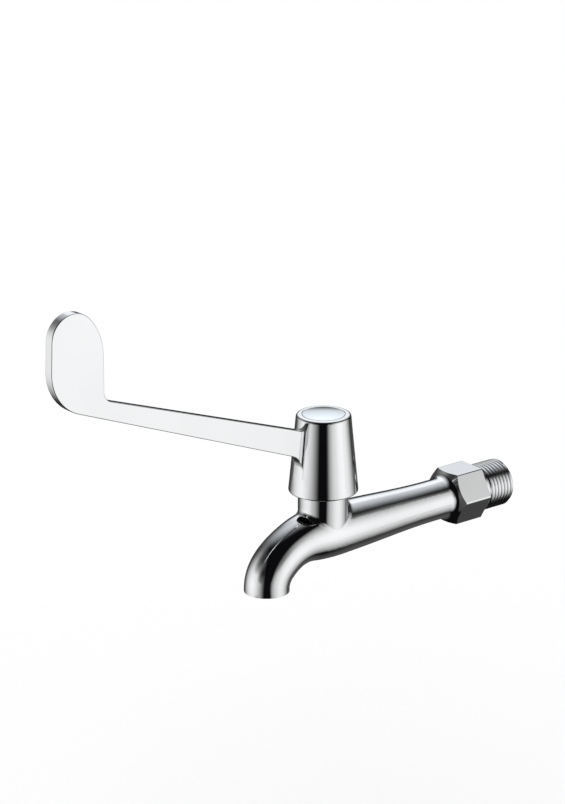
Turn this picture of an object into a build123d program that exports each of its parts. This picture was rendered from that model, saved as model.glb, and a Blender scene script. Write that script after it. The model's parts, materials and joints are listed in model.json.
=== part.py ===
from build123d import *
from math import acos, cos, degrees, pi, radians, sin, sqrt, tan
import os

os.makedirs("parts", exist_ok=True)

# Wall-mounted bib tap with a long lever that an elbow or forearm pushes.
# Millimetres. The origin is the centre of the hexagon's back face, where the male thread starts.
# +Y runs into the wall, +Z is up, and the spout and the closed lever both point along -Y.

# Wall connection: G 1/2 male thread and the spanner hexagon in front of it
thread_radius = 10.4775
thread_length = 16.5
thread_end_chamfer = 1.0
hex_across_flats = 23.0
hex_length = 15.45
hex_edge_round = 1.0
hex_chamfer_angle = 38.0
flare_radius = 4.0

# Casting, from the hexagon to the valve and on to the outlet
valve_reach = 84.8
tube_radius = 9.0
tube_parallel_length = 5.0
belly_radius = 11.5
spout_radius = 9.75
spout_narrowing_share = 0.6
spout_bend_start = 6.4
spout_slope = 47.5
spout_upper_bend = 28.5
spout_lower_bend = 13.4
outlet_straight = 1.0
neck_radius = 10.9
neck_height = 22.0
neck_root_fillet = 3.0

# Waterways inside the casting
inlet_bore_radius = 6.5
spout_bore_radius = 7.5
outlet_bore_radius = 7.8
outlet_bore_depth = 3.5
seat_level = 1.5
seat_radius = 3.5
seat_plate = 2.6
feed_radius = 3.2
chamber_wall = 2.6
window_radius = 6.0

# Headwork: quarter-turn ceramic disc valve with a G 3/8 housing
housing_thread_radius = 8.33
housing_thread_start = 12.5
housing_skirt_radius = 7.1
housing_skirt_wall = 1.0
housing_washer_thickness = 0.8
housing_flange_inset = 0.4
housing_flange_thickness = 1.6
housing_hex_across_flats = 17.0
housing_hex_height = 5.5
housing_boss_radius = 6.6
housing_boss_height = 3.1
housing_window_width = 8.0
housing_window_height = 2.6
thread_clearance = 0.05

# Discs and seat seal, stacked on the seat
seal_height = 2.8
seal_lip_height = 1.0
seal_radius = 6.0
seal_wall = 1.7
seal_ring_wall = 0.7
seal_ring_height = 2.0
disc_thickness = 2.5
disc_radius = 6.0
disc_lug_width = 3.0
disc_port_outer = 4.6
disc_port_inner = 1.2
disc_port_angle = 80.0
drive_slot_width = 3.0
drive_slot_depth = 1.1
stack_clearance = 0.1

# Spindle, its seals and the parts that hold it
shaft_radius = 4.6
shaft_clearance = 0.05
fork_height = 3.0
fork_length_share = 0.9
stop_plate_thickness = 1.7
stop_plate_radius_share = 0.86
stop_rib_angle = 60.0
quarter_turn = 90.0
stop_clearance_angle = 2.0
glide_washer_thickness = 0.6
o_ring_section = 1.6
o_ring_squeeze = 0.02
o_ring_spacing = 4.6
groove_clearance = 0.1
circlip_thickness = 1.0
circlip_groove_depth = 0.8
circlip_clearance = 0.05
circlip_rim = 1.5
circlip_gap_angle = 50.0
spline_tip_radius = 4.0
spline_depth = 0.4
spline_teeth = 20
spline_length = 12.73
spline_fit = 0.05

# Lever handle: hollow cone, arm and paddle in one casting
hub_base_gap = 7.55
hub_running_gap = 1.96
hub_rim_wall = 2.34
hub_base_round = 0.8
hub_top_round = 1.3
hub_wall = 2.2
hub_deck = 3.0
hub_screw_deck = 2.2
hub_socket_wall = 2.2
arm_thickness = 4.4
arm_top_drop = 4.9
arm_root_depth = 11.92
arm_top_angle = 19.1
arm_bottom_angle = 21.2
arm_root_fillet = 7.5
arm_root_tail = 9.0
arm_side_fillet = 1.6
lever_reach = 141.2
paddle_width = 25.7
paddle_top_level = 123.7
paddle_nose_share = 0.42
paddle_nose_place_share = 0.44
paddle_back_share = 0.94
paddle_front_share = 0.79
paddle_front_lean = 2.3
paddle_inner_fillet = 5.0
paddle_edge_round = 0.4

# Handle fixing and index cap
insert_wall = 1.3
insert_gap = 1.2
screw_radius = 2.0
screw_hole_clearance = 0.25
screw_head_radius = 3.6
screw_head_height = 2.2
screw_head_gap = 0.2
screw_engagement = 7.0
screw_end_gap = 1.5
screw_socket_across_flats = 3.0
screw_socket_depth = 1.4
lock_washer_thickness = 0.9
lock_washer_radius = 3.4
cap_radius = 9.31
cap_clearance = 0.1
cap_thickness = 1.1
cap_dome = 0.45
cap_skirt_depth = 2.0
cap_skirt_wall = 1.8
cap_edge_round = 0.25
cap_o_ring_section = 1.0

# Overrun for every through cut
overrun = 1.0

# Radii that follow the pieces they fit
housing_flange_radius = neck_radius - housing_flange_inset
hub_base_radius = neck_radius + hub_running_gap + hub_wall
hub_top_radius = cap_radius + cap_clearance + hub_rim_wall

# Levels up the valve axis, from the seat to the cap
valve_y = -valve_reach
seal_top = seat_level + seal_height
rotating_disc_level = seal_top + disc_thickness
fork_level = rotating_disc_level + disc_thickness
stop_plate_level = fork_level + fork_height
stop_plate_top = stop_plate_level + stop_plate_thickness
shoulder_level = stop_plate_top + glide_washer_thickness
flange_level = neck_height + housing_washer_thickness
housing_hex_level = flange_level + housing_flange_thickness
boss_level = housing_hex_level + housing_hex_height
housing_top = boss_level + housing_boss_height
circlip_level = housing_top + stack_clearance
spline_level = circlip_level + circlip_thickness + stack_clearance
insert_level = spline_level + insert_gap
spindle_top = spline_level + spline_length
insert_length = spindle_top - insert_level
cap_seat_level = spindle_top + hub_screw_deck
deck_underside = cap_seat_level - hub_deck
screw_head_level = cap_seat_level + lock_washer_thickness
screw_head_top = screw_head_level + screw_head_height
cap_underside = screw_head_top + screw_head_gap
hub_top_level = cap_underside + cap_thickness
hub_base_level = belly_radius + hub_base_gap
hub_height = hub_top_level - hub_base_level

valve_axis = Axis((0, valve_y, 0), (0, 0, 1))
valve_section = Plane(origin=(0, valve_y, 0), x_dir=(1, 0, 0), z_dir=(0, -1, 0))


def valve_plane(level):
    """Level plane centred on the valve axis."""
    return Plane(origin=(0, valve_y, level))


def valve_outline(*points):
    """Closed outline in the upright plane through the valve axis, as radius and level."""
    with BuildSketch(valve_section) as outline:
        with BuildLine():
            Polyline(*points, close=True)
        make_face()
    return outline.sketch


def ring_outline(inner, outer, low, high):
    """Section of a plain ring about the valve axis."""
    return valve_outline((inner, low), (outer, low), (outer, high), (inner, high))


def sector_outline(level, inner, outer, middle_angle, sweep_angle):
    """Flat ring sector on a level plane, centred on middle_angle."""
    first = middle_angle - sweep_angle / 2
    last = middle_angle + sweep_angle / 2

    def at(radius, angle):
        return (radius * cos(radians(angle)), radius * sin(radians(angle)))

    with BuildSketch(valve_plane(level)) as outline:
        with BuildLine():
            ThreePointArc(at(outer, first), at(outer, middle_angle), at(outer, last))
            Line(at(outer, last), at(inner, last))
            ThreePointArc(at(inner, last), at(inner, middle_angle), at(inner, first))
            Line(at(inner, first), at(outer, first))
        make_face()
    return outline.sketch


def spline_outline(level, grow):
    """Serrated outline of the spindle's end, grown by grow."""
    tip = spline_tip_radius + grow
    root = tip - spline_depth
    corners = []
    for step in range(2 * spline_teeth):
        radius = tip if step % 2 == 0 else root
        angle = pi * step / spline_teeth
        corners.append((radius * cos(angle), radius * sin(angle)))
    with BuildSketch(valve_plane(level)) as outline:
        Polygon(*corners, align=None)
    return outline.sketch


def smooth_share(share):
    """Share of a change of radius that is reached at this share of its length."""
    return share * share * (3 - 2 * share)


# Hexagon's front: one cone from the corners inward, and a hollow rounding into the tube
hex_flat_radius = hex_across_flats / 2
hex_corner_radius = hex_flat_radius / cos(radians(30))
cone_rim = (hex_corner_radius - hex_flat_radius) * tan(radians(hex_chamfer_angle)) - hex_length
cone_foot = (tube_radius - hex_flat_radius) * tan(radians(hex_chamfer_angle)) - hex_length
flare_run = flare_radius * tan(radians(90 - hex_chamfer_angle) / 2)
flare_rim = (
    cone_foot + flare_run * sin(radians(hex_chamfer_angle)),
    tube_radius + flare_run * cos(radians(hex_chamfer_angle)),
)

# Centre line of the casting: level from the hexagon, then two bends down to the outlet
tube_start = cone_foot - flare_run
growth_start = tube_start - tube_parallel_length
bend_y = valve_y - spout_bend_start

with BuildLine(Plane.YZ) as spout_path:
    upper_bend = JernArc((bend_y, 0), (-1, 0), spout_upper_bend, spout_slope)
    lower_bend = JernArc(upper_bend @ 1, upper_bend % 1, spout_lower_bend, 90 - spout_slope)
    drop = Line(lower_bend @ 1, lower_bend @ 1 - Vector(0, 0, outlet_straight))
outlet = drop @ 1
outlet_level = outlet.Z
outlet_y = outlet.Y

# Stations of the casting's outside: tube, belly under the valve, and spout
tube_shares = (0.2, 0.4, 0.6, 0.8, 1.0)
upper_bend_shares = (0.0, 0.2, 0.4, 0.6, 0.8, 1.0)
lower_bend_shares = (0.25, 0.5, 0.75, 1.0)

casting_stations = [
    (Vector(0, tube_start, 0), Vector(0, -1, 0), tube_radius),
    (Vector(0, (tube_start + growth_start) / 2, 0), Vector(0, -1, 0), tube_radius),
    (Vector(0, growth_start, 0), Vector(0, -1, 0), tube_radius),
]
for share in tube_shares:
    station_y = growth_start + share * (valve_y - growth_start)
    radius = tube_radius + smooth_share(share) * (belly_radius - tube_radius)
    casting_stations.append((Vector(0, station_y, 0), Vector(0, -1, 0), radius))
narrowing_length = spout_bend_start + spout_narrowing_share * radians(spout_slope) * spout_upper_bend
for share in upper_bend_shares:
    travelled = spout_bend_start + share * radians(spout_slope) * spout_upper_bend
    narrowed = smooth_share(min(1, travelled / narrowing_length)) * (belly_radius - spout_radius)
    casting_stations.append((upper_bend @ share, upper_bend % share, belly_radius - narrowed))
for share in lower_bend_shares:
    casting_stations.append((lower_bend @ share, lower_bend % share, spout_radius))
casting_stations.append((outlet, drop % 1, spout_radius))

# Tap body: thread, hexagon, tube, neck and spout in one brass casting
chamber_radius = housing_thread_radius + thread_clearance
inlet_bore_end = valve_y + chamber_radius + chamber_wall
feed_level = seat_level - seat_plate - feed_radius

with BuildPart() as tap_body:
    with BuildSketch(Plane.XZ) as hex_outline:
        RegularPolygon(hex_flat_radius, 6, major_radius=False)
        fillet(hex_outline.vertices(), hex_edge_round)
    extrude(amount=-tube_start)
    with BuildSketch(Plane.YZ):
        with BuildLine():
            Polyline(
                (tube_start, tube_radius),
                (tube_start, 0),
                (0, 0),
                (0, hex_corner_radius),
                (cone_rim, hex_corner_radius),
                flare_rim,
            )
            TangentArc((tube_start, tube_radius), flare_rim, tangent=(1, 0))
        make_face()
    revolve(axis=Axis.Y, mode=Mode.INTERSECT)
    with BuildSketch(Plane.XZ):
        Circle(thread_radius)
    extrude(amount=-thread_length)
    chamfer(tap_body.edges().filter_by(GeomType.CIRCLE).sort_by(Axis.Y)[-1], thread_end_chamfer)
    for place, direction, radius in casting_stations:
        with BuildSketch(Plane(origin=place, x_dir=(1, 0, 0), z_dir=direction)):
            Circle(radius)
    loft()
    with BuildSketch(valve_plane(0)):
        Circle(neck_radius)
    extrude(amount=neck_height)
    neck_wall = tap_body.faces(Select.LAST).filter_by(GeomType.CYLINDER).sort_by(SortBy.AREA)[-1]
    fillet(neck_wall.edges().sort_by(Axis.Z)[:-1], neck_root_fillet)

    with BuildSketch(Plane.XZ.offset(-thread_length)):
        Circle(inlet_bore_radius)
    extrude(amount=thread_length - inlet_bore_end, mode=Mode.SUBTRACT)
    with BuildSketch(Plane.XZ.offset(-inlet_bore_end - inlet_bore_radius)):
        with Locations((0, feed_level)):
            Circle(feed_radius)
    extrude(amount=valve_reach + seat_radius + inlet_bore_end - inlet_bore_radius, mode=Mode.SUBTRACT)
    with BuildSketch(valve_plane(feed_level)):
        Circle(seat_radius)
    extrude(amount=seat_level - feed_level, mode=Mode.SUBTRACT)
    with BuildSketch(valve_plane(seat_level)):
        Circle(chamber_radius)
    extrude(amount=neck_height - seat_level, mode=Mode.SUBTRACT)
    with BuildSketch(Plane.XZ.offset(valve_reach)):
        Circle(window_radius)
        with Locations((0, seat_level - window_radius)):
            Rectangle(2 * window_radius, 2 * window_radius, mode=Mode.SUBTRACT)
    extrude(amount=spout_bend_start + window_radius / 2, mode=Mode.SUBTRACT)
    with BuildSketch(Plane(origin=(0, bend_y, 0), x_dir=(1, 0, 0), z_dir=(0, -1, 0))):
        Circle(spout_bore_radius)
    sweep(path=spout_path.wire(), mode=Mode.SUBTRACT)
    with BuildSketch(Plane.XY.offset(outlet_level)):
        with Locations((0, outlet_y)):
            Circle(outlet_bore_radius)
    extrude(amount=outlet_bore_depth, mode=Mode.SUBTRACT)

tap_body.part.label = "tap_body"
export_step(tap_body.part, "parts/tap_body.step")

# Sealing washer between the neck and the headwork's flange
with BuildPart() as housing_washer:
    revolve(
        ring_outline(
            housing_thread_radius + thread_clearance,
            housing_flange_radius,
            neck_height,
            neck_height + housing_washer_thickness,
        ),
        axis=valve_axis,
    )
housing_washer.part.label = "housing_washer"
export_step(housing_washer.part, "parts/housing_washer.step")

# Headwork housing: skirt round the discs, thread, flange, spanner hexagon and boss
skirt_level = seat_level + seal_lip_height
skirt_bore = housing_skirt_radius - housing_skirt_wall
shaft_bore = shaft_radius + shaft_clearance
stop_plate_radius = skirt_bore * stop_plate_radius_share
lug_radius = housing_skirt_radius - stack_clearance
window_level = stop_plate_level - housing_window_height

with BuildPart() as headwork_housing:
    revolve(
        valve_outline(
            (skirt_bore, skirt_level),
            (housing_skirt_radius, skirt_level),
            (housing_skirt_radius, housing_thread_start),
            (housing_thread_radius, housing_thread_start),
            (housing_thread_radius, flange_level),
            (housing_flange_radius, flange_level),
            (housing_flange_radius, housing_hex_level),
            (housing_boss_radius, housing_hex_level),
            (housing_boss_radius, housing_top),
            (shaft_bore, housing_top),
            (shaft_bore, shoulder_level),
            (skirt_bore, shoulder_level),
        ),
        axis=valve_axis,
    )
    with BuildSketch(valve_plane(housing_hex_level)):
        RegularPolygon(housing_hex_across_flats / 2, 6, major_radius=False)
        Circle(housing_boss_radius, mode=Mode.SUBTRACT)
    extrude(amount=housing_hex_height)
    with BuildSketch(Plane(origin=(0, valve_y, window_level), x_dir=(0, 1, 0), z_dir=(0, 0, 1))):
        Rectangle(2 * housing_thread_radius, housing_window_width)
    extrude(amount=housing_window_height, mode=Mode.SUBTRACT)
    with BuildSketch(valve_plane(skirt_level)):
        Rectangle(2 * housing_thread_radius, disc_lug_width + stack_clearance)
    extrude(amount=rotating_disc_level - skirt_level, mode=Mode.SUBTRACT)
    extrude(
        sector_outline(
            stop_plate_level,
            stop_plate_radius + stack_clearance,
            skirt_bore + stack_clearance,
            180 + quarter_turn / 2,
            stop_rib_angle,
        ),
        amount=stop_plate_thickness,
    )
headwork_housing.part.label = "headwork_housing"
export_step(headwork_housing.part, "parts/headwork_housing.step")

# Seat seal, a rubber cup ring, and the stiff ring inside it
seal_inner = seal_radius - seal_wall
with BuildPart() as seat_seal:
    revolve(ring_outline(seal_inner, seal_radius, seat_level, seal_top), axis=valve_axis)
seat_seal.part.label = "seat_seal"
export_step(seat_seal.part, "parts/seat_seal.step")

with BuildPart() as seal_support_ring:
    ring_level = seal_top - (seal_height + seal_ring_height) / 2
    revolve(
        ring_outline(seal_inner - seal_ring_wall, seal_inner, ring_level, ring_level + seal_ring_height),
        axis=valve_axis,
    )
seal_support_ring.part.label = "seal_support_ring"
export_step(seal_support_ring.part, "parts/seal_support_ring.step")

# Ceramic discs: two sector ports each, a quarter turn apart when the tap is closed
with BuildPart() as fixed_disc:
    with BuildSketch(valve_plane(seal_top)):
        Circle(disc_radius)
        Rectangle(2 * lug_radius, disc_lug_width)
    extrude(amount=disc_thickness)
    for port_angle in (90, 270):
        extrude(
            sector_outline(seal_top, disc_port_inner, disc_port_outer, port_angle, disc_port_angle),
            amount=disc_thickness,
            mode=Mode.SUBTRACT,
        )
fixed_disc.part.label = "fixed_disc"
export_step(fixed_disc.part, "parts/fixed_disc.step")

with BuildPart() as rotating_disc:
    with BuildSketch(valve_plane(rotating_disc_level)):
        Circle(disc_radius)
    extrude(amount=disc_thickness)
    for port_angle in (0, 180):
        extrude(
            sector_outline(
                rotating_disc_level, disc_port_inner, disc_port_outer, port_angle, disc_port_angle
            ),
            amount=disc_thickness,
            mode=Mode.SUBTRACT,
        )
    with BuildSketch(valve_plane(fork_level)):
        Rectangle(drive_slot_width, 2 * disc_radius + overrun)
    extrude(amount=-drive_slot_depth, mode=Mode.SUBTRACT)
rotating_disc.part.label = "rotating_disc"
export_step(rotating_disc.part, "parts/rotating_disc.step")

# Spindle: drive blade, stop plate, sealed shaft, circlip groove and splined end
groove_width = o_ring_section + groove_clearance
groove_floor = shaft_radius - o_ring_section + shaft_clearance - o_ring_squeeze
lower_groove_level = (shoulder_level + housing_top - o_ring_spacing) / 2
groove_levels = (lower_groove_level, lower_groove_level + o_ring_spacing)
blade_width = drive_slot_width - stack_clearance
blade_level = fork_level - drive_slot_depth + stack_clearance
stop_travel = quarter_turn + 2 * stop_clearance_angle
stop_lug_angle = 360 - stop_rib_angle - stop_travel
stop_lug_middle = 180 + quarter_turn / 2 + stop_rib_angle / 2 + stop_clearance_angle + stop_lug_angle / 2
plate_lug_radius = skirt_bore - stack_clearance
screw_bore = screw_radius + stack_clearance

with BuildPart() as spindle:
    with BuildSketch(valve_plane(blade_level)):
        Rectangle(blade_width, 2 * disc_radius * fork_length_share)
    extrude(amount=stop_plate_level - blade_level)
    with BuildSketch(valve_plane(stop_plate_level)):
        Circle(stop_plate_radius)
    extrude(amount=stop_plate_thickness)
    extrude(
        sector_outline(stop_plate_level, shaft_radius, plate_lug_radius, stop_lug_middle, stop_lug_angle),
        amount=stop_plate_thickness,
    )
    with BuildSketch(valve_plane(stop_plate_top)):
        Circle(shaft_radius)
    extrude(amount=spline_level - stop_plate_top)
    extrude(spline_outline(spline_level, 0), amount=spline_length)
    for groove_level in groove_levels:
        revolve(
            ring_outline(
                groove_floor,
                shaft_radius + overrun,
                groove_level - groove_width / 2,
                groove_level + groove_width / 2,
            ),
            axis=valve_axis,
            mode=Mode.SUBTRACT,
        )
    revolve(
        ring_outline(
            shaft_radius - circlip_groove_depth,
            shaft_radius + overrun,
            circlip_level,
            circlip_level + circlip_thickness,
        ),
        axis=valve_axis,
        mode=Mode.SUBTRACT,
    )
    with Locations(valve_plane(spindle_top)):
        Hole(screw_bore, depth=screw_engagement + screw_end_gap)
spindle.part.label = "spindle"
export_step(spindle.part, "parts/spindle.step")

# Rings on the spindle: two O-rings, glide washer and circlip
for ring_name, groove_level in zip(("lower_spindle_o_ring", "upper_spindle_o_ring"), groove_levels):
    with BuildPart() as spindle_o_ring:
        with BuildSketch(valve_section):
            with Locations((groove_floor + o_ring_section / 2, groove_level)):
                Circle(o_ring_section / 2)
        revolve(axis=valve_axis)
    spindle_o_ring.part.label = ring_name
    export_step(spindle_o_ring.part, f"parts/{ring_name}.step")

with BuildPart() as glide_washer:
    revolve(
        ring_outline(shaft_bore, skirt_bore - stack_clearance, stop_plate_top, shoulder_level),
        axis=valve_axis,
    )
glide_washer.part.label = "glide_washer"
export_step(glide_washer.part, "parts/glide_washer.step")

with BuildPart() as spindle_circlip:
    clip_inner = shaft_radius - circlip_groove_depth + circlip_clearance
    extrude(
        sector_outline(circlip_level, clip_inner, shaft_radius + circlip_rim, 0, 360 - circlip_gap_angle),
        amount=circlip_thickness,
    )
spindle_circlip.part.label = "spindle_circlip"
export_step(spindle_circlip.part, "parts/spindle_circlip.step")

# Lever handle: cone, deck and socket, with the arm and paddle on its front
cone_slope = (hub_base_radius - hub_top_radius) / hub_height
insert_radius = spline_tip_radius + spline_fit + insert_wall
socket_radius = insert_radius + hub_socket_wall


def cone_radius(level):
    """Outside radius of the hub at a level."""
    return hub_base_radius - (level - hub_base_level) * cone_slope


def hub_front(level, depth_share):
    """Y of the hub's front at a level, sunk by a share of the wall."""
    return valve_y - cone_radius(level) + depth_share * hub_wall


# The arm's two edges are straight lines that rise from the hub and draw together
arm_top_level = hub_top_level - arm_top_drop
arm_bottom_level = arm_top_level - arm_root_depth
arm_tail_level = arm_bottom_level - arm_root_tail
root_depth_share = 0.5
skin_depth_share = 0.12
paddle_front = valve_y - lever_reach
paddle_back = paddle_front + paddle_width
nose_radius = paddle_width * paddle_nose_share
nose_y = paddle_front + paddle_width * paddle_nose_place_share
nose_level = paddle_top_level - nose_radius
back_radius = paddle_width * paddle_back_share
back_run = nose_y - paddle_back + back_radius
back_angle = degrees(acos(back_run / (back_radius - nose_radius)))
back_centre_level = nose_level - back_run * tan(radians(back_angle))


def arm_top_at(place_y):
    """Level of the arm's top edge."""
    return arm_top_level + (hub_front(arm_top_level, 0) - place_y) * tan(radians(arm_top_angle))


def arm_bottom_at(place_y):
    """Level of the arm's bottom edge."""
    rise = (hub_front(arm_bottom_level, 0) - place_y) * tan(radians(arm_bottom_angle))
    return arm_bottom_level + rise


def arm_flare_outline(level):
    """Level section of the arm's root, which flares on both sides into the hub."""
    hub_radius = cone_radius(level)
    centre_x = arm_thickness / 2 + arm_side_fillet
    centre_y = -sqrt((hub_radius + arm_side_fillet) ** 2 - centre_x**2)
    touch_share = hub_radius / (hub_radius + arm_side_fillet)
    hub_x = centre_x * touch_share
    hub_y = centre_y * touch_share
    plate_x = arm_thickness / 2
    inner_y = hub_y + hub_wall / 2
    with BuildSketch(valve_plane(level)) as outline:
        with BuildLine():
            TangentArc((plate_x, centre_y), (hub_x, hub_y), tangent=(0, 1))
            Polyline((hub_x, hub_y), (hub_x, inner_y), (-hub_x, inner_y), (-hub_x, hub_y))
            TangentArc((-plate_x, centre_y), (-hub_x, hub_y), tangent=(0, 1))
            Line((-plate_x, centre_y), (plate_x, centre_y))
        make_face()
    return outline.sketch


top_root = hub_front(arm_top_level, root_depth_share)
inner_corner = (paddle_back, arm_top_at(paddle_back))
nose_end_y = nose_y - nose_radius * cos(radians(paddle_front_lean))
nose_end_level = nose_level + nose_radius * sin(radians(paddle_front_lean))
front_slope = tan(radians(paddle_front_lean))
front_share = 1 + front_slope * tan(radians(arm_bottom_angle))
front_drop = (nose_end_level - arm_bottom_at(nose_end_y)) / front_share
front_corner = (nose_end_y - front_drop * front_slope, nose_end_level - front_drop)
root_corner = (hub_front(arm_bottom_level, skin_depth_share), arm_bottom_level)

with BuildPart() as arm:
    with BuildSketch(Plane.YZ) as arm_outline:
        with BuildLine():
            Polyline((top_root, arm_top_at(top_root)), inner_corner, (paddle_back, back_centre_level))
            back_arc = JernArc((paddle_back, back_centre_level), (0, 1), back_radius, back_angle)
            nose_turn = 180 - back_angle - paddle_front_lean
            nose_arc = JernArc(back_arc @ 1, back_arc % 1, nose_radius, nose_turn)
            Polyline(
                nose_arc @ 1,
                front_corner,
                root_corner,
                (hub_front(arm_tail_level, skin_depth_share), arm_tail_level),
                (hub_front(arm_tail_level, root_depth_share), arm_tail_level),
                (top_root, arm_top_at(top_root)),
            )
        make_face()
        for corner, corner_radius in (
            (inner_corner, paddle_inner_fillet),
            (front_corner, paddle_width * paddle_front_share),
            (root_corner, arm_root_fillet),
        ):
            fillet(arm_outline.vertices().sort_by_distance(corner)[0], corner_radius)
    extrude(amount=arm_thickness / 2, both=True)
    arm_side = arm_outline.sketch
    side_faces = arm.faces().filter_by(Axis.X).sort_by(SortBy.AREA)[-2:]
    fillet(side_faces.edges(), paddle_edge_round)

with BuildPart() as arm_flare:
    add(arm_flare_outline(arm_tail_level))
    add(arm_flare_outline(hub_top_level))
    loft()
    extrude(arm_side, amount=hub_base_radius, both=True, mode=Mode.INTERSECT)

with BuildPart() as lever_handle:
    revolve(
        valve_outline(
            (0, hub_base_level),
            (hub_base_radius, hub_base_level),
            (hub_top_radius, hub_top_level),
            (0, hub_top_level),
        ),
        axis=valve_axis,
    )
    outer_edges = lever_handle.edges().filter_by(GeomType.CIRCLE).sort_by(Axis.Z)
    fillet(outer_edges[0], hub_base_round)
    outer_edges = lever_handle.edges().filter_by(GeomType.CIRCLE).sort_by(Axis.Z)
    fillet(outer_edges[-1], hub_top_round)
    add(arm.part)
    add(arm_flare.part)
    revolve(
        valve_outline(
            (0, hub_base_level - overrun),
            (cone_radius(hub_base_level - overrun) - hub_wall, hub_base_level - overrun),
            (cone_radius(deck_underside) - hub_wall, deck_underside),
            (socket_radius, deck_underside),
            (socket_radius, insert_level),
            (0, insert_level),
        ),
        axis=valve_axis,
        mode=Mode.SUBTRACT,
    )
    with Locations(valve_plane(hub_top_level)):
        Hole(cap_radius + cap_clearance, depth=hub_top_level - cap_seat_level)
        Hole(screw_radius + screw_hole_clearance, depth=hub_height)
    with BuildSketch(valve_plane(insert_level)):
        Circle(insert_radius)
    extrude(amount=insert_length, mode=Mode.SUBTRACT)
lever_handle.part.label = "lever_handle"
export_step(lever_handle.part, "parts/lever_handle.step")

# Brass insert pressed into the socket, with the splined hole for the spindle
with BuildPart() as spline_insert:
    with BuildSketch(valve_plane(insert_level)):
        Circle(insert_radius)
    extrude(amount=insert_length)
    extrude(spline_outline(insert_level, spline_fit), amount=insert_length, mode=Mode.SUBTRACT)
spline_insert.part.label = "spline_insert"
export_step(spline_insert.part, "parts/spline_insert.step")

# Screw and spring lock washer that hold the handle down on the spindle
with BuildPart() as lock_washer:
    revolve(
        ring_outline(
            screw_radius + screw_hole_clearance / 2,
            lock_washer_radius,
            cap_seat_level,
            screw_head_level,
        ),
        axis=valve_axis,
    )
lock_washer.part.label = "lock_washer"
export_step(lock_washer.part, "parts/lock_washer.step")

with BuildPart() as handle_screw:
    with BuildSketch(valve_plane(screw_head_level)):
        Circle(screw_head_radius)
    extrude(amount=screw_head_height)
    with BuildSketch(valve_plane(spindle_top - screw_engagement)):
        Circle(screw_radius)
    extrude(amount=screw_head_level - spindle_top + screw_engagement)
    with BuildSketch(valve_plane(screw_head_top)):
        RegularPolygon(screw_socket_across_flats / 2, 6, major_radius=False)
    extrude(amount=-screw_socket_depth, mode=Mode.SUBTRACT)
handle_screw.part.label = "handle_screw"
export_step(handle_screw.part, "parts/handle_screw.step")

# Index cap, a domed disc with a skirt that an O-ring holds in the deck's recess
cap_skirt_level = cap_underside - cap_skirt_depth
cap_groove_floor = cap_radius + cap_clearance - cap_o_ring_section
cap_groove_level = cap_underside - cap_skirt_depth / 2

with BuildPart() as index_cap:
    with BuildSketch(valve_section):
        with BuildLine():
            Polyline(
                (0, hub_top_level + cap_dome),
                (0, cap_underside),
                (cap_radius - cap_skirt_wall, cap_underside),
                (cap_radius - cap_skirt_wall, cap_skirt_level),
                (cap_radius, cap_skirt_level),
                (cap_radius, hub_top_level - cap_edge_round),
                (cap_radius - cap_edge_round, hub_top_level),
            )
            TangentArc(
                (0, hub_top_level + cap_dome),
                (cap_radius - cap_edge_round, hub_top_level),
                tangent=(1, 0),
            )
        make_face()
    revolve(axis=valve_axis)
    revolve(
        ring_outline(
            cap_groove_floor,
            cap_radius + overrun,
            cap_groove_level - (cap_o_ring_section + groove_clearance) / 2,
            cap_groove_level + (cap_o_ring_section + groove_clearance) / 2,
        ),
        axis=valve_axis,
        mode=Mode.SUBTRACT,
    )
index_cap.part.label = "index_cap"
export_step(index_cap.part, "parts/index_cap.step")

with BuildPart() as cap_o_ring:
    with BuildSketch(valve_section):
        with Locations((cap_groove_floor + cap_o_ring_section / 2, cap_groove_level)):
            Circle(cap_o_ring_section / 2)
    revolve(axis=valve_axis)
cap_o_ring.part.label = "cap_o_ring"
export_step(cap_o_ring.part, "parts/cap_o_ring.step")
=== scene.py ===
# %% [markdown]
# # A chrome elbow lever tap
#
# The tap screws into a wall fitting by the thread on its right. Water runs along the tube,
# up through a ceramic valve under the cone, and out of the curved spout. The long flat lever
# is pushed with an elbow, a quarter turn, so that clean hands never touch it.
#
# The shapes come from a CAD model that is loaded as a fixed frame, in metres. This lesson
# dresses it: it cuts the real screw thread, gives every piece its finish, and builds the
# studio, because polished chrome shows nothing but the room that it stands in.

# %% Load the frame and measure it
import bpy
import json
from math import cos, hypot, pi, radians, sin
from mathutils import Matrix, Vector
from mathutils.kdtree import KDTree

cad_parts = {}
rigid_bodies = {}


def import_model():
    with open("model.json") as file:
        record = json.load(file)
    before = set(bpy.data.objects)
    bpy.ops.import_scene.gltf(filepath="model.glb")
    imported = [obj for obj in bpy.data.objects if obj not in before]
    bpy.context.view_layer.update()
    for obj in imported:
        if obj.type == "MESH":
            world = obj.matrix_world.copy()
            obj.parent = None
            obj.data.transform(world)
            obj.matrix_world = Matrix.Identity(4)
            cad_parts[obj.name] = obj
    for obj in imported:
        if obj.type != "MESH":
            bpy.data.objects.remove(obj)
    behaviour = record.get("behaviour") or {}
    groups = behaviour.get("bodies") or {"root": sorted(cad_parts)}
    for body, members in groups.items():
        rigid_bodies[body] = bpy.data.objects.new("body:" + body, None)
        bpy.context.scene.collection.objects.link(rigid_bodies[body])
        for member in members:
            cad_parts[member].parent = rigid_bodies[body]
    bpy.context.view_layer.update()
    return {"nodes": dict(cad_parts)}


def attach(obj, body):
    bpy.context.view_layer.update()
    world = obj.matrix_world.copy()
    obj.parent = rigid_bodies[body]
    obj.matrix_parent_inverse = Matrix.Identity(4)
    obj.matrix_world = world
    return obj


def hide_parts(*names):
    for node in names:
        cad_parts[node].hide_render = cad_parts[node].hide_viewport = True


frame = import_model()
nodes = frame["nodes"]

mm = 0.001
merge_distance = 0.001 * mm

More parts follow.
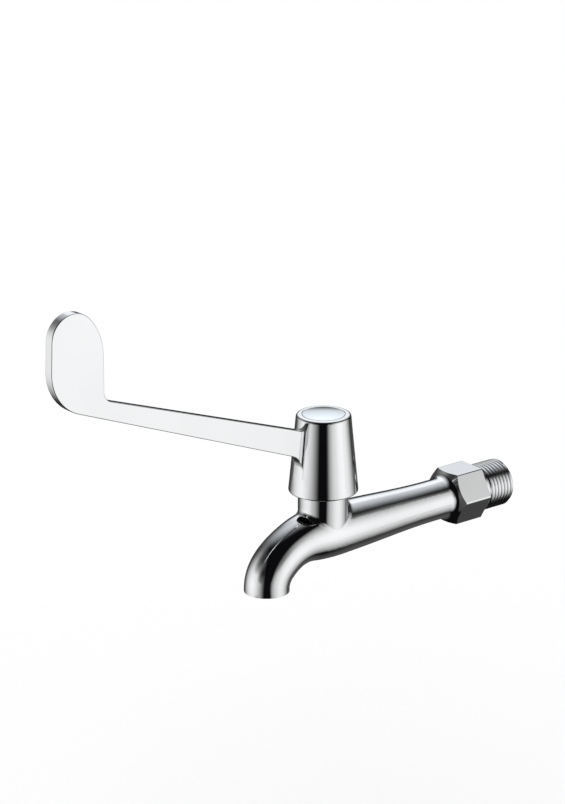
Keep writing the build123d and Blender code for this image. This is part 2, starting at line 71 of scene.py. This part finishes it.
# %% [markdown]
# ## The camera
#
# The photograph looks at the tap from the front right and from a little above. Its long lens
# keeps the lever's two edges almost parallel. Its two angles, its place and its lens were
# worked out from where the thread, the hexagon, the cone and the lever lie in the photograph,
# with the size set by the thread's standard diameter. A camera that is turned by tilt and
# heading only, with no roll, keeps upright edges upright.

# %% Place the camera
camera_heading = radians(51.263)
camera_height_angle = radians(18.786)
camera_place = (1.083378, -0.976230, 0.535930)
camera_lens = 156.716
film_width = 36
near_clip = 0.05

bpy.ops.object.camera_add(
    location=camera_place,
    rotation=(pi / 2 - camera_height_angle, 0, camera_heading),
)
camera = bpy.context.object
camera.name = "photo_camera"
camera.data.lens = camera_lens
camera.data.sensor_width = film_width
camera.data.sensor_fit = "AUTO"
camera.data.clip_start = near_clip
bpy.context.scene.camera = camera
print("camera at", [round(value, 3) for value in camera.location])

# %% [markdown]
# ## Writing a shader as sums
#
# Shader nodes can be wired one by one, but a page of wiring hides what is meant. The class
# below wraps one output of a node. Adding, subtracting or multiplying two of them adds the
# Math node that does it, so a mask reads like a line of school maths. Its method `node` makes
# any other node: first its settings, then what goes into its sockets.

# %% A wire that can be added and multiplied
class Wire:
    """One output of a shader node, on which sums can be written."""

    def __init__(self, tree, socket=None):
        self.tree = tree
        self.socket = socket

    def node(self, kind, settings=None, inputs=None, output=0):
        """Any node: its settings first, then the values or links of its sockets."""
        made = self.tree.nodes.new(kind)
        for name, value in (settings or {}).items():
            setattr(made, name, value)
        for name, value in (inputs or {}).items():
            if isinstance(value, Wire):
                self.tree.links.new(value.socket, made.inputs[name])
            else:
                made.inputs[name].default_value = value
        return Wire(self.tree, made.outputs[output] if made.outputs else None)

    def maths(self, operation, first, second=0.0):
        """One Math node, which works on plain numbers."""
        return self.node("ShaderNodeMath", {"operation": operation}, {0: first, 1: second})

    def vectors(self, operation, first, second):
        """Vector maths; SCALE takes a number second, and DOT_PRODUCT gives a number."""
        second_socket = "Scale" if operation == "SCALE" else 1
        output = "Value" if operation == "DOT_PRODUCT" else 0
        inputs = {0: first, second_socket: second}
        return self.node("ShaderNodeVectorMath", {"operation": operation}, inputs, output)

    def __add__(self, other):
        return self.maths("ADD", self, other)

    def __sub__(self, other):
        return self.maths("SUBTRACT", self, other)

    def __rsub__(self, other):
        return self.maths("SUBTRACT", other, self)

    def __mul__(self, other):
        return self.maths("MULTIPLY", self, other)

    def between(self, low, high):
        """0 below low, 1 above high, and a soft step between the two."""
        return self.node(
            "ShaderNodeMapRange",
            {"interpolation_type": "SMOOTHSTEP"},
            {"Value": self, "From Min": low, "From Max": high},
        )


def blank_tree(owner):
    """An owner's node tree with nothing in it, as a wire to start from."""
    owner.use_nodes = True
    owner.node_tree.nodes.clear()
    return Wire(owner.node_tree)


print("shader helper ready")

# %% [markdown]
# ## The floor and the background
#
# The photograph is cut out on pure white. The world is white wherever the camera, a mirror
# or a glass looks at it, and gives a plain even light to everything else. A white floor lies
# well below the tap. It takes a soft shadow and meets the white behind it with no edge. The
# floor is shown from above only, so that a camera below it can still look up at the tap.

# %% White world and pale floor
even_light = 0.72
lamp_light = 0.28
lamp_tilt, lamp_lean = radians(25), radians(15)
lamp_softness = radians(70)
floor_level = -0.16
floor_width = 6.0

world = bpy.data.worlds.new("studio_white")
bpy.context.scene.world = world
wire = blank_tree(world)
seen = wire.node("ShaderNodeLightPath", output="Is Camera Ray")
mirrored = wire.node("ShaderNodeLightPath", output="Is Glossy Ray")
through = wire.node("ShaderNodeLightPath", output="Is Transmission Ray")
shows_white = wire.maths("MAXIMUM", wire.maths("MAXIMUM", seen, mirrored), through)
background = wire.node(
    "ShaderNodeBackground",
    inputs={"Color": (1, 1, 1, 1), "Strength": shows_white * (1 - even_light) + even_light},
)
wire.node("ShaderNodeOutputWorld", inputs={"Surface": background})

bpy.ops.object.select_all(action="DESELECT")
bpy.ops.mesh.primitive_plane_add(size=floor_width, location=(0, -0.1, floor_level))
floor = bpy.context.object
floor.name = "studio_floor"
paint = bpy.data.materials.new("floor_white")
wire = blank_tree(paint)
white = wire.node("ShaderNodeBsdfDiffuse", inputs={"Color": (1, 1, 1, 1)})
clear = wire.node("ShaderNodeBsdfTransparent")
underside = wire.node("ShaderNodeNewGeometry", output="Backfacing")
shown = wire.node("ShaderNodeMixShader", inputs={0: underside, 1: white, 2: clear})
wire.node("ShaderNodeOutputMaterial", inputs={"Surface": shown})
floor.data.materials.append(paint)
floor.visible_glossy = False

bpy.ops.object.light_add(
    type="SUN", location=(0.4, -0.4, 1.5), rotation=(lamp_tilt, lamp_lean, 0)
)
lamp = bpy.context.object
lamp.name = "soft_lamp"
lamp.data.angle = lamp_softness
lamp.data.energy = pi * lamp_light / (cos(lamp_tilt) * cos(lamp_lean))
lamp.visible_glossy = False
print("floor", round(-floor_level / mm), "mm below the valve's axis")

# %% [markdown]
# ## The tent that the chrome reflects
#
# A chrome piece in an all-white room looks like paper. A photographer stands it in a dark tent
# and lights the cloth in a few places, and each soft patch of light becomes a bright band on
# the metal with a black line beside it. The bands in the photograph tell where the patches
# were: one on each side of the camera, a large one high behind the tap with a smaller one
# below it, and dim glows from the front, the table and the back of the room. Five black cards
# take some light away again, and a dark edge cuts two of the patches off below.
#
# Each patch is brightest at its middle and fades as a power of the cosine of the angle away
# from it, so its sharpness can be chosen. Angles are in degrees: to the right of the camera,
# and above the horizon.

# %% Where the light comes from
whole = None  # a patch with no dark edge below
white_light, cool_light = (1.0, 1.0, 1.0), (0.95, 0.98, 1.02)
light_patches = [
    # side angle, height angle, reach, strength, sharpness, height of its lower edge, colour
    (-79, -7, 63, 0.99, 1.3, -48, white_light),
    (70, -5.5, 56, 1.03, 0.95, whole, white_light),
    (179, 52, 57, 0.95, 2.2, whole, cool_light),
    (180, 26.5, 24, 0.60, 0.6, 14, cool_light),
    (27, -9, 17, 0.12, 0.8, whole, white_light),
    (150, -33, 41, 0.10, 1.2, whole, white_light),
    (-140, -5, 50, 0.06, 1.2, whole, white_light),
]
black_cards = [
    # side angle, height angle, reach, share of the light that it takes
    (93, 41, 13, 0.8),
    (33, 20, 16, 0.5),
    (-51, -39, 20, 1.0),
    (-36, 20, 24, 0.9),
    (-75, 40, 30, 0.85),
]
edge_softness = 4
bare_cloth = (0.004, 0.004, 0.0045)  # the glow where no patch reaches


def tent_direction(side_angle, height_angle):
    """Unit vector that many degrees to the right of the camera and above the horizon."""
    heading = camera_heading + radians(side_angle)
    height = radians(height_angle)
    return (sin(heading) * cos(height), -cos(heading) * cos(height), sin(height))


print(len(light_patches), "patches of light and", len(black_cards), "black cards")

# %% [markdown]
# The tent is a large ball that only mirrors see: the camera, soft light and shadows pass
# through it. Its cloth glows by itself. The direction from the ball's middle to a point of the
# cloth tells how far that point is from the middle of each patch.

# %% Light the tent
tent_radius = 1.0
tent_centre = (0, -0.08, 0.02)
just_below_one = 0.99999

bpy.ops.object.select_all(action="DESELECT")
bpy.ops.mesh.primitive_uv_sphere_add(
    segments=64, ring_count=32, radius=tent_radius, location=tent_centre
)
tent = bpy.context.object
tent.name = "studio_tent"
cloth = bpy.data.materials.new("tent_cloth")
wire = blank_tree(cloth)
spot = wire.node("ShaderNodeTexCoord", output="Object")
outward = wire.node("ShaderNodeVectorMath", {"operation": "NORMALIZE"}, {0: spot})
rise = wire.node("ShaderNodeSeparateXYZ", inputs={0: outward}, output="Z")


def spread(side_angle, height_angle, reach):
    """1 in that direction, falling to 0 at reach degrees away from it."""
    toward = tent_direction(side_angle, height_angle)
    facing = wire.vectors("DOT_PRODUCT", outward, toward)
    angle = wire.maths("ARCCOSINE", wire.maths("MINIMUM", facing, just_below_one))
    return wire.maths("COSINE", wire.maths("MINIMUM", angle * (90 / reach), pi / 2))


glow = wire.node("ShaderNodeCombineXYZ", inputs=dict(enumerate(bare_cloth)))
for side_angle, height_angle, reach, strength, sharpness, lowest, colour in light_patches:
    patch = wire.maths("POWER", spread(side_angle, height_angle, reach), sharpness) * strength
    if lowest is not whole:
        low, high = radians(lowest - edge_softness), radians(lowest + edge_softness)
        patch = patch * rise.between(sin(low), sin(high))
    tinted = wire.vectors("SCALE", colour, patch)
    glow = wire.vectors("ADD", glow, tinted)
for side_angle, height_angle, reach, taken in black_cards:
    left_over = 1 - spread(side_angle, height_angle, reach) * taken
    glow = wire.vectors("SCALE", glow, left_over)
lit = wire.node("ShaderNodeEmission", inputs={"Color": glow, "Strength": 1.0})
wire.node("ShaderNodeOutputMaterial", inputs={"Surface": lit})
tent.data.materials.append(cloth)
tent.visible_camera = False
tent.visible_diffuse = False
tent.visible_transmission = False
tent.visible_volume_scatter = False
tent.visible_shadow = False
print("tent", tent_radius, "m in radius")

# %% [markdown]
# ## Selecting by place
#
# By hand, faces are picked with the mouse. In a script they are picked by where they are and
# which way they face. Two helpers do that: one makes an object the only active one, and one
# selects the vertices, edges or faces that pass a test.

# %% Helpers for edit mode
def only(piece):
    """Makes the piece the one selected and active object."""
    bpy.ops.object.select_all(action="DESELECT")
    piece.select_set(True)
    bpy.context.view_layer.objects.active = piece


def choose(piece, parts, test):
    """In object mode, selects just the parts that pass the test, and returns their number."""
    for kind in (piece.data.polygons, piece.data.edges, piece.data.vertices):
        kind.foreach_set("select", [False] * len(kind))
    for part in getattr(piece.data, parts):
        part.select = test(part)
    return sum(part.select for part in getattr(piece.data, parts))


def from_thread_axis(point):
    """Distance of a point from the axis of the thread."""
    return hypot(point[0], point[2])


print("edit helpers ready")

# %% [markdown]
# ## The inlet thread
#
# The CAD solid is a plain cylinder over the crests, because a thread is heavy to model as a
# solid. The real tail is a half-inch pipe thread, 14 turns to the inch with rounded crests and
# roots. It could be faked with a bump, but its outline shows in the photograph, so it is cut
# for real. The outline of one turn is drawn by extruding a single vertex, and the Screw
# modifier winds it into a helix.

# %% Draw one turn of the thread
crest_radius = 10.4775 * mm
thread_pitch = 25.4 * mm / 14
thread_depth = 1.16 * mm
thread_end = 16.5 * mm
bore_radius = 6.5 * mm
turn_count = 11
turn_steps = 96
first_turn = -thread_pitch

# share of the pitch along the axis, share of the depth below the crest
turn_outline_shares = [
    (0.07, 0.02), (0.13, 0.10), (0.18, 0.22), (0.32, 0.78), (0.37, 0.90),
    (0.43, 0.98), (0.50, 1.00), (0.57, 0.98), (0.63, 0.90), (0.68, 0.78),
    (0.82, 0.22), (0.87, 0.10), (0.93, 0.02), (1.00, 0.00),
]

bpy.ops.object.select_all(action="DESELECT")
bpy.ops.mesh.primitive_plane_add(size=2 * mm)
inlet_thread = bpy.context.object
inlet_thread.name = "inlet_thread"
bpy.ops.object.mode_set(mode="EDIT")
bpy.ops.mesh.merge(type="CENTER")
bpy.ops.transform.translate(value=(crest_radius, first_turn, 0))
reached = (0.0, 0.0)
for along, below in turn_outline_shares:
    step = ((reached[1] - below) * thread_depth, (along - reached[0]) * thread_pitch, 0)
    bpy.ops.mesh.extrude_region_move(TRANSFORM_OT_translate={"value": step})
    reached = (along, below)
bpy.ops.object.mode_set(mode="OBJECT")
print("one turn has", len(inlet_thread.data.vertices), "points")

# %% Wind it and cut it to length
winding = inlet_thread.modifiers.new("winding", "SCREW")
winding.axis = "Y"
winding.screw_offset = thread_pitch
winding.iterations = turn_count
winding.steps = turn_steps
winding.render_steps = turn_steps
winding.use_merge_vertices = True
winding.merge_threshold = merge_distance
winding.use_normal_calculate = True
only(inlet_thread)
bpy.ops.object.transform_apply(location=True, rotation=True, scale=True)
bpy.ops.object.modifier_apply(modifier="winding")
bpy.ops.object.mode_set(mode="EDIT")
bpy.ops.mesh.select_all(action="SELECT")
bpy.ops.mesh.remove_doubles(threshold=merge_distance)
bpy.ops.mesh.bisect(
    plane_co=(0, thread_end, 0), plane_no=(0, 1, 0), clear_outer=True, threshold=merge_distance
)
bpy.ops.mesh.select_all(action="SELECT")
bpy.ops.mesh.bisect(
    plane_co=(0, 0, 0), plane_no=(0, -1, 0), clear_outer=True, threshold=merge_distance
)
bpy.ops.object.mode_set(mode="OBJECT")
print("thread has", len(inlet_thread.data.vertices), "points")

# %% [markdown]
# The die that cuts a thread lets go gradually, so the groove fades out before the shoulder,
# and the tail was chamfered on the lathe before it was cut. Both are a limit on each point's
# distance from the axis, so each point is moved straight in or out to obey it. Then the two
# open rims are drawn in to the bore and bridged, which closes the piece.

# %% Fade the groove, chamfer the end and close the bore
runout_start = 1.6 * mm
runout_end = 3.6 * mm
chamfer_start = 15.5 * mm
crest_smoothing = radians(50)

for vertex in inlet_thread.data.vertices:
    radius = from_thread_axis(vertex.co)
    along = vertex.co.y
    fade = min(1, max(0, (along - runout_start) / (runout_end - runout_start)))
    wanted = crest_radius - (crest_radius - radius) * fade
    wanted = min(wanted, crest_radius - max(0, along - chamfer_start))
    vertex.co.x *= wanted / radius
    vertex.co.z *= wanted / radius

only(inlet_thread)
bpy.ops.object.mode_set(mode="EDIT")
bpy.ops.mesh.select_mode(type="EDGE")
bpy.ops.mesh.select_all(action="DESELECT")
bpy.ops.mesh.select_non_manifold()
bpy.ops.mesh.extrude_edges_move()
bpy.ops.object.mode_set(mode="OBJECT")
for vertex in inlet_thread.data.vertices:
    if vertex.select:
        radius = from_thread_axis(vertex.co)
        vertex.co.x *= bore_radius / radius
        vertex.co.z *= bore_radius / radius
bpy.ops.object.mode_set(mode="EDIT")
bpy.ops.mesh.bridge_edge_loops()
bpy.ops.mesh.select_all(action="SELECT")
bpy.ops.mesh.normals_make_consistent(inside=False)
bpy.ops.object.mode_set(mode="OBJECT")
bpy.ops.object.shade_smooth_by_angle(angle=crest_smoothing)
print("inlet thread:", len(inlet_thread.data.polygons), "faces")

# %% [markdown]
# ## The casting
#
# Tube, belly, neck and spout run into each other through fillets, which is where CAD is
# strongest, so the skin is a copy of the CAD solid's mesh. Its loose triangles are merged, and
# the plain cylinder where the new thread goes is cut off and closed.

# %% Copy the casting and cut off its plain tail
casting = bpy.data.objects.new("casting", nodes["tap_body"].data.copy())
bpy.context.scene.collection.objects.link(casting)
shoulder = 0.02 * mm

only(casting)
bpy.ops.object.mode_set(mode="EDIT")
bpy.ops.mesh.select_mode(type="VERT")
bpy.ops.mesh.select_all(action="SELECT")
bpy.ops.mesh.remove_doubles(threshold=merge_distance)
bpy.ops.mesh.select_all(action="SELECT")
bpy.ops.mesh.bisect(
    plane_co=(0, shoulder, 0), plane_no=(0, 1, 0), clear_outer=True, threshold=merge_distance
)
bpy.ops.object.mode_set(mode="OBJECT")
rim = 0.9 * shoulder
points = casting.data.vertices
picked = choose(
    casting, "edges", lambda edge: min(points[index].co.y for index in edge.vertices) > rim
)
bpy.ops.object.mode_set(mode="EDIT")
bpy.ops.mesh.select_mode(type="EDGE")
bpy.ops.mesh.bridge_edge_loops()
bpy.ops.object.mode_set(mode="OBJECT")
print("casting:", len(casting.data.polygons), "faces,", picked, "rim edges bridged")

# %% [markdown]
# The CAD program split the hollow rounding round the neck into long crossing triangles, which a
# mirror finish would show as black flecks. All its corner points are good, so Beautify Faces
# only turns the shared edges round until the triangles are short and even.

# %% Even out the triangles round the neck's root
valve_y = -84.8 * mm
neck_radius = 10.9 * mm
root_inside, root_outside = 0.9 * neck_radius, 1.4 * neck_radius
root_bottom, root_top = 3 * mm, 14.5 * mm
steepest_fold = radians(60)


def at_neck_root(face):
    """True for the smooth skin round the foot of the neck."""
    from_valve = hypot(face.center.x, face.center.y - valve_y)
    near = root_inside < from_valve < root_outside
    return near and root_bottom < face.center.z < root_top


picked = choose(casting, "polygons", at_neck_root)
bpy.ops.object.mode_set(mode="EDIT")
bpy.ops.mesh.select_mode(type="FACE")
bpy.ops.mesh.beautify_fill(angle_limit=steepest_fold)
bpy.ops.object.mode_set(mode="OBJECT")
print(picked, "triangles evened out")

# %% [markdown]
# Joining the corners threw away the CAD's own surface normals, and a mirror finish would then
# show every triangle. So each corner of a face looks up the CAD normals at its own place and
# takes the one that agrees best with its face, which keeps sharp edges sharp. The few faces
# that the cut made are turned on a lathe, so their normals point along the thread's axis or
# straight out from it.

# %% Give the casting its exact normals back
source = nodes["tap_body"].data
source_places = KDTree(len(source.loops))
for loop in source.loops:
    source_places.insert(source.vertices[loop.vertex_index].co, loop.index)
source_places.balance()
source_normals = [normal.vector.copy() for normal in source.corner_normals]
same_place = 0.003 * mm
faces_along_axis = 0.9


def exact_normal(face, place):
    """The CAD surface's normal at a corner of a face, worked out where the cut is."""
    found = source_places.find_range(place, same_place)
    if found:
        return max((source_normals[index] for _, index, _ in found), key=face.normal.dot)
    if abs(face.normal.y) > faces_along_axis:
        return face.normal
    outward = Vector((place.x, 0, place.z)).normalized()
    return outward if outward.dot(face.normal) > 0 else -outward


exact_normals = []
for face in casting.data.polygons:
    face.use_smooth = True
    for corner in face.loop_indices:
        place = casting.data.vertices[casting.data.loops[corner].vertex_index].co
        exact_normals.append(exact_normal(face, place))
casting.data.normals_split_custom_set(exact_normals)
print(len(exact_normals), "corner normals set")

# %% [markdown]
# ## Ride and replace
#
# Each new piece moves with the body that it is part of, and stands for the CAD node that it
# covers, which is hidden.

# %% Join the new pieces to the frame
for piece in (casting, inlet_thread):
    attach(piece, "tap")
    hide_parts("tap_body")
print("pieces on the tap body:", casting.name, inlet_thread.name)

# %% [markdown]
# ## What every finish is made of
#
# Each finish blends two close tones by a slow noise and bends its surface by a finer pattern.
# The patterns run on the object's own coordinates, so their sizes are in metres, like the tap.

# %% Helpers for finishes
def new_finish(name):
    """A named material with an empty tree, and a wire to start from."""
    finish = bpy.data.materials.new(name)
    return finish, blank_tree(finish)


def noise(wire, scale, detail, stretch=(1, 1, 1)):
    """Noise on the object's own coordinates, scale times per metre."""
    spot = wire.node("ShaderNodeTexCoord", output="Object")
    mapped = wire.node("ShaderNodeMapping", inputs={"Vector": spot, "Scale": stretch})
    inputs = {"Vector": mapped, "Scale": scale, "Detail": detail}
    return wire.node("ShaderNodeTexNoise", inputs=inputs)


def coordinate(wire, axis):
    """The object's own X, Y or Z, in metres."""
    spot = wire.node("ShaderNodeTexCoord", output="Object")
    return wire.node("ShaderNodeSeparateXYZ", inputs={0: spot}, output=axis)


def mix_colours(wire, share, first, second):
    """Blend of two colours, or of a wire and a colour, by a share from 0 to 1."""
    if not isinstance(first, Wire):
        first = (*first, 1)
    inputs = {0: share, 6: first, 7: (*second, 1)}
    return wire.node("ShaderNodeMix", {"data_type": "RGBA"}, inputs, output=2)


def bumpy(wire, height, depth, strength):
    """A normal bent as if the surface were that high, depth metres at most."""
    inputs = {"Strength": strength, "Distance": depth, "Height": height}
    return wire.node("ShaderNodeBump", inputs=inputs)


def metal(wire, colour, roughness, normal):
    """Metallic surface from a colour, a roughness and a normal, all of which may vary."""
    inputs = {"Base Color": colour, "Metallic": 1.0, "Roughness": roughness, "Normal": normal}
    surface = wire.node("ShaderNodeBsdfPrincipled", inputs=inputs)
    wire.node("ShaderNodeOutputMaterial", inputs={"Surface": surface})


print("finish helpers ready")

# %% [markdown]
# ## Polished chrome
#
# Chrome plate is a thin bright metal with a faint blue cast over a polished casting. Painting
# it grey would fail, because its look is all reflection: the shader is fully metallic and
# nearly smooth. Real plate isn't perfect. Buffing leaves a very slight waviness, and handling
# leaves smears that blur the mirror a little, so noise drives a small change of roughness and
# a shallow bump.
#
# Inside the lever's hollow cone and on its foot the metal lies in shade. A mask on the
# distance from the valve's axis and on the height paints that shade there as a dark grey.

# %% Chrome for the casting, the lever and the cap
bright_plate, cool_plate = (0.905, 0.91, 0.918), (0.80, 0.845, 0.865)
# painted shade: the dark grey that stands in for the shade in the hub's hollow and on its foot
shade_grey = (0.10, 0.10, 0.105)
smear_low, smear_high, smear_darkening = 0.42, 0.68, 0.98
plate_grain_scale, plate_grain_share = 2400.0, 0.02
polish, smear_blur, shade_blur = 0.03, 0.025, 0.5
hollow_radius, foot_radius, cone_slope = 12.86 * mm, 14.4 * mm, 0.096
hub_base, hub_deck = 19.05 * mm, 46.5 * mm
# over what widths the painted shade fades at the deck, at the cone's wall and at the foot
deck_fade, wall_fade = 0.1 * mm, (0.1 * mm, 0.4 * mm)
foot_fade, foot_rim_fade = (0.02 * mm, 0.08 * mm), 0.3 * mm


def chrome(name, ripple_size, ripple_depth, smear_size, light=bright_plate, bare=None):
    """Polished chrome plate with faint buffing ripples and smears, and painted dark grey shade
    where the mask is 1.
    """
    finish, wire = new_finish(name)
    smear = noise(wire, 1 / smear_size, detail=3.0).between(smear_low, smear_high)
    ripple = noise(wire, 1 / ripple_size, detail=1.0)
    grain = noise(wire, plate_grain_scale, detail=1.0)
    tone = mix_colours(wire, smear, light, [smear_darkening * part for part in light])
    roughness = smear * smear_blur + polish
    # painted shade: where the mask is 1, the plate turns dark grey and its reflection blurs
    if bare is not None:
        painted_shade = bare(wire)
        tone = mix_colours(wire, painted_shade, tone, shade_grey)
        roughness = roughness + painted_shade * shade_blur
    height = ripple + grain * plate_grain_share
    metal(wire, tone, roughness, bumpy(wire, height, ripple_depth, 1.0))
    return finish


def in_hub_hollow(wire):
    """1 inside the cone and on its foot, where shade is painted, and 0 on its outside."""
    beside, along = coordinate(wire, "X"), coordinate(wire, "Y") - valve_y
    level = coordinate(wire, "Z")
    radius = wire.maths("SQRT", beside * beside + along * along)
    cone_line = hollow_radius - (level - hub_base) * cone_slope
    under_deck = 1 - level.between(hub_deck - deck_fade, hub_deck)
    hollow = under_deck * (1 - (radius - cone_line).between(*wall_fade))
    foot = 1 - level.between(hub_base + foot_fade[0], hub_base + foot_fade[1])
    within_foot = 1 - radius.between(foot_radius, foot_radius + foot_rim_fade)
    return wire.maths("MAXIMUM", hollow, foot * within_foot)


body_chrome = chrome("body_chrome", 22 * mm, 0.012 * mm, 30 * mm)
# the lever's chrome carries painted shade in the hub's hollow and on its foot
lever_chrome = chrome("lever_chrome", 35 * mm, 0.008 * mm, 42 * mm, bare=in_hub_hollow)
cap_chrome = chrome("cap_chrome", 12 * mm, 0.004 * mm, 14 * mm, light=cool_plate)
print("chrome finishes:", body_chrome.name, lever_chrome.name, cap_chrome.name)

# %% [markdown]
# ## Bare brass
#
# Plating doesn't reach far into the waterways, and the headwork, spindle and insert aren't
# plated at all. Turned brass shows fine rings from the tool, which run round the axis that it
# was turned on. The inside of the casting is rougher, with the grain of its sand core.

# %% Brass, cast and turned
def turned_brass(name, colour, worn, lines_per_mm):
    """Bright turned brass with tool rings stacked up the valve's axis."""
    finish, wire = new_finish(name)
    wobble = noise(wire, 300.0, detail=2.0)
    turns = coordinate(wire, "Z") * (2 * pi * lines_per_mm / mm)
    rings = wire.maths("SINE", turns + wobble * 3.0)
    cloud = noise(wire, 160.0, detail=3.0).between(0.35, 0.7)
    tone = mix_colours(wire, cloud, colour, worn)
    metal(wire, tone, cloud * 0.12 + 0.2, bumpy(wire, rings, 0.006 * mm, 0.5))
    return finish


def cast_brass(name):
    """Dull brass with the grain of a sand core."""
    finish, wire = new_finish(name)
    cloud = noise(wire, 220.0, detail=4.0).between(0.3, 0.7)
    grain = noise(wire, 3200.0, detail=2.0)
    tone = mix_colours(wire, cloud, (0.52, 0.37, 0.17), (0.36, 0.25, 0.13))
    metal(wire, tone, cloud * 0.15 + 0.42, bumpy(wire, grain, 0.05 * mm, 0.6))
    return finish


headwork_brass = turned_brass("headwork_brass", (0.75, 0.56, 0.27), (0.66, 0.48, 0.22), 4)
spindle_brass = turned_brass("spindle_brass", (0.77, 0.58, 0.29), (0.68, 0.50, 0.24), 6)
insert_brass = turned_brass("insert_brass", (0.72, 0.53, 0.26), (0.62, 0.45, 0.21), 3)
waterway_brass = cast_brass("waterway_brass")
print("brass finishes ready")

# %% [markdown]
# ## Rubber, ceramic, acetal, fibre and steel
#
# These pieces are sealed inside, but the model is also taken apart, so each gets the finish
# of the real thing: soft black rubber with a bloom, white lapped alumina, milky acetal,
# dark red fibre with its felted grain, and drawn or turned steel.

# %% Finishes of the small pieces
def solid(name, tones, cloud_scale, grain_scale, grain_depth, roughness, sheen=0.0):
    """Non-metal surface whose colour drifts between two tones, with a fine grain."""
    finish, wire = new_finish(name)
    (light, dark), (rough_low, rough_high) = tones, roughness
    cloud = noise(wire, cloud_scale, detail=3.0).between(0.3, 0.7)
    grain = noise(wire, grain_scale, detail=2.0)
    tone = mix_colours(wire, cloud, light, dark)
    surface = wire.node(
        "ShaderNodeBsdfPrincipled",
        inputs={
            "Base Color": tone,
            "Roughness": cloud * (rough_high - rough_low) + rough_low,
            "Sheen Weight": sheen,
            "Normal": bumpy(wire, grain, grain_depth, 0.6),
        },
    )
    wire.node("ShaderNodeOutputMaterial", inputs={"Surface": surface})
    return finish


def drawn_steel(name, light, dark, rough_low):
    """Steel with fine drawing lines round the valve's axis."""
    finish, wire = new_finish(name)
    lines = noise(wire, 900.0, detail=2.0, stretch=(0.15, 0.15, 4.0))
    cloud = noise(wire, 240.0, detail=2.0).between(0.3, 0.7)
    tone = mix_colours(wire, cloud, light, dark)
    metal(wire, tone, lines * 0.12 + rough_low, bumpy(wire, lines, 0.01 * mm, 0.5))
    return finish


rubber_tones = (0.030, 0.030, 0.031), (0.018, 0.018, 0.018)
ceramic_tones = (0.93, 0.93, 0.90), (0.90, 0.90, 0.87)
acetal_tones = (0.88, 0.88, 0.86), (0.84, 0.84, 0.81)
fibre_tones = (0.45, 0.16, 0.10), (0.33, 0.11, 0.07)
seal_rubber = solid("seal_rubber", rubber_tones, 400, 5000, 0.01 * mm, (0.45, 0.62))
disc_ceramic = solid("disc_ceramic", ceramic_tones, 500, 9000, 0.001 * mm, (0.10, 0.16))
inner_plastic = solid("inner_plastic", acetal_tones, 300, 4000, 0.006 * mm, (0.34, 0.45))
washer_fibre = solid("washer_fibre", fibre_tones, 900, 6000, 0.03 * mm, (0.62, 0.82), 0.1)
spring_steel = drawn_steel("spring_steel", (0.52, 0.52, 0.53), (0.44, 0.44, 0.45), 0.26)
screw_steel = drawn_steel("screw_steel", (0.64, 0.64, 0.65), (0.57, 0.57, 0.58), 0.20)
print("small finishes ready")

# %% [markdown]
# ## Which faces of the casting are plated
#
# The plating stops a few millimetres inside the outlet, and the bore through the thread has
# none. Behind the thread, a face belongs to a waterway when it lies close to the centre line
# that the water follows: along the tube, down the two bends of the spout, or up the neck. The
# bends are drawn from their radii.

# %% Find the waterways
bend_start = valve_y - 6.4 * mm
upper_bend, lower_bend = 28.5 * mm, 13.4 * mm
spout_slope = radians(47.5)
last_drop = 1 * mm
waterway_reach = 8.45 * mm
bore_margin = 1.02
line_step = 2 * mm
tube_steps, neck_steps, bend_steps = 46, 12, 8

centre_line = [Vector((0, -step * line_step, 0)) for step in range(tube_steps)]
centre_line += [Vector((0, valve_y, step * line_step)) for step in range(neck_steps)]
for step in range(1, bend_steps + 1):
    turned = spout_slope * step / bend_steps
    run, fall = upper_bend * sin(turned), upper_bend * (1 - cos(turned))
    centre_line.append(Vector((0, bend_start - run, -fall)))
joint = centre_line[-1]
for step in range(1, bend_steps + 1):
    turned = spout_slope + (pi / 2 - spout_slope) * step / bend_steps
    run = lower_bend * (sin(turned) - sin(spout_slope))
    fall = lower_bend * (cos(spout_slope) - cos(turned))
    centre_line.append(joint + Vector((0, -run, -fall)))
centre_line.append(centre_line[-1] + Vector((0, 0, -last_drop)))


def in_waterway(point):
    """True where the point is nearer to the centre line than the bores reach."""
    nearest = min((point - place).length for place in centre_line)
    return nearest < waterway_reach


def in_thread_bore(point):
    """True on the wall of the bore through the thread."""
    return from_thread_axis(point) < bore_radius * bore_margin


for piece, is_bare in ((casting, in_waterway), (inlet_thread, in_thread_bore)):
    piece.data.materials.clear()
    piece.data.materials.append(body_chrome)
    piece.data.materials.append(waterway_brass)
    for face in piece.data.polygons:
        face.material_index = 1 if is_bare(face.center) else 0
    bare_faces = sum(face.material_index for face in piece.data.polygons)
    print(piece.name, bare_faces, "of", len(piece.data.polygons), "faces are bare brass")

# %% [markdown]
# ## Dress the CAD nodes
#
# Every other CAD node already has the right shape, so it keeps its mesh and only gets the
# finish that the parts list names for it.

# %% Give each node its finish
node_finishes = {
    "lever_handle": lever_chrome,
    "index_cap": cap_chrome,
    "headwork_housing": headwork_brass,
    "spindle": spindle_brass,
    "spline_insert": insert_brass,
    "fixed_disc": disc_ceramic,
    "rotating_disc": disc_ceramic,
    "seat_seal": seal_rubber,
    "lower_spindle_o_ring": seal_rubber,
    "upper_spindle_o_ring": seal_rubber,
    "cap_o_ring": seal_rubber,
    "seal_support_ring": inner_plastic,
    "glide_washer": inner_plastic,
    "housing_washer": washer_fibre,
    "spindle_circlip": spring_steel,
    "lock_washer": spring_steel,
    "handle_screw": screw_steel,
}
for name, finish in node_finishes.items():
    for slot in nodes[name].material_slots:
        slot.material = finish
    print(name, "->", finish.name)

# %% [markdown]
# ## Finish
#
# The picture should have the plain colour transform, so that a colour renders as it is
# written.

# %% Colour transform
bpy.context.scene.view_settings.view_transform = "Standard"
